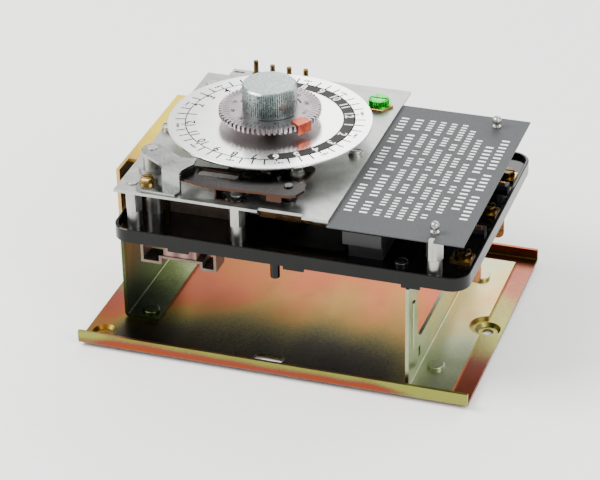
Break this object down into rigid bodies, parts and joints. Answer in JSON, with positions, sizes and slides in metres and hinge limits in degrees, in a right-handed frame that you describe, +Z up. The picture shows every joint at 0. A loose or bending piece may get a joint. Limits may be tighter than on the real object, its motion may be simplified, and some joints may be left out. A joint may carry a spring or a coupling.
{
  "type": "programmable timer",
  "caption": "Open-frame 24-hour programmable timer: hour dial, geared minute dial with knob and trip slider on a plate above a terminal board and plated steel base.",
  "frame": {"origin": "on the resting plane, under the middle of the base plate", "axes": "+X to the right along the front edge, +Y to the back, +Z up; the dials turn about Z"},
  "size_m": [0.175, 0.1284, 0.1067],
  "materials": {
    "yellow_zinc_steel": "yellow chromate plating, iridescent",
    "zinc_plate": "zinc plated, satin",
    "bright_steel": "bright plated",
    "black_phenolic": "moulded, glossy",
    "grey_fibre": "fibre sheet, matt",
    "spun_aluminium": "satin, printed scale",
    "minute_zinc": "cast zinc, printed",
    "knob_zinc": "cast zinc, knurled",
    "brass": "satin",
    "copper": "copper plated",
    "bronze_steel": "dark bronze finish, copper edges",
    "dark_steel": "dark, oiled",
    "green_screw": "green dyed zinc",
    "motor_bronze": "bronze grey",
    "coil_tape": "varnished tape",
    "silver_contact": "polished",
    "spring_steel": "tempered"
  },
  "bodies": {
    "chassis": {"base_plate": "yellow_zinc_steel", "left_bracket": "yellow_zinc_steel", "right_bracket": "yellow_zinc_steel", "bracket_buttons": "yellow_zinc_steel", "terminal_board": "black_phenolic", "board_screws": "bright_steel", "bracket_screws": "dark_steel", "plate_posts": "bright_steel", "lever_guide": "bronze_steel", "star_washer": "dark_steel", "top_plate": "zinc_plate", "arbor_bush": "brass", "stud_posts": "bright_steel", "ball_studs": "bright_steel", "insulator_sheet": "grey_fibre", "idler_stud": "bright_steel", "lever_post": "dark_steel", "lever_spring": "spring_steel", "spring_rivet": "brass", "release_post": "bright_steel", "pointer_arm": "zinc_plate", "spool_post": "bright_steel", "arm_screw": "brass", "ground_screw": "green_screw", "ground_cup": "brass", "lock_washers": "bright_steel", "plate_screws": "bright_steel", "spare_pins": "brass", "motor_gearbox": "motor_bronze", "motor_frame": "motor_bronze", "motor_core": "dark_steel", "motor_coil": "coil_tape", "motor_strap": "bright_steel", "lead_cover": "coil_tape", "switch_block": "black_phenolic", "switch_blades": "copper", "switch_contacts": "silver_contact", "terminal_pads": "brass", "terminal_screws": "brass", "hanging_tabs": "copper", "tab_collars": "black_phenolic"},
    "minute_shaft": {"minute_dial": "minute_zinc", "setting_knob": "knob_zinc", "arbor": "bright_steel", "drive_wheel": "brass"},
    "hour_disc": {"hour_dial": "spun_aluminium", "hour_wheel": "brass", "hub_rivets": "spun_aluminium"},
    "idler": {"idler_wheel": "brass", "idler_pinion": "brass"},
    "motor_drive": {"motor_pinion": "brass"},
    "slider": {"termination_slider": "copper"},
    "trip_arm": {"trip_lever": "bronze_steel", "switch_pusher": "black_phenolic"},
    "release_arm": {"release_lever": "bronze_steel"}
  },
  "joints": [
    {"name": "minute_spin", "type": "hinge", "parent": "chassis", "child": "minute_shaft", "pos_m": [-0.019, 0.0021, 0.07815], "axis": [0, 0, 1], "continuous": true},
    {"name": "hour_spin", "type": "hinge", "parent": "chassis", "child": "hour_disc", "pos_m": [-0.019, 0.0021, 0.07815], "axis": [0, 0, 1], "continuous": true},
    {"name": "idler_spin", "type": "hinge", "parent": "chassis", "child": "idler", "pos_m": [-0.019, 0.0189, 0.07815], "axis": [0, 0, 1], "continuous": true},
    {"name": "motor_spin", "type": "hinge", "parent": "chassis", "child": "motor_drive", "pos_m": [-0.0365, 0.0021, 0.07815], "axis": [0, 0, 1], "continuous": true},
    {"name": "slider_set", "type": "hinge", "parent": "minute_shaft", "child": "slider", "pos_m": [-0.019, 0.0021, 0.07815], "axis": [0, 0, 1], "range_deg": [-160, 160]},
    {"name": "trip_swing", "type": "hinge", "parent": "chassis", "child": "trip_arm", "pos_m": [0.0051, -0.0452, 0.07815], "axis": [0, 0, 1], "range_deg": [-2.5, 0], "stiffness_Nm_per_rad": 0.05},
    {"name": "release_swing", "type": "hinge", "parent": "chassis", "child": "release_arm", "pos_m": [0.0035, -0.029, 0.07815], "axis": [0, 0, 1], "range_deg": [-3, 3], "stiffness_Nm_per_rad": 0.02}
  ],
  "couplings": [
    {"joint": "hour_spin", "follows": "minute_spin", "ratio": 0.083333},
    {"joint": "idler_spin", "follows": "minute_spin", "ratio": -0.33333},
    {"joint": "motor_spin", "follows": "minute_spin", "ratio": -6}
  ]
}
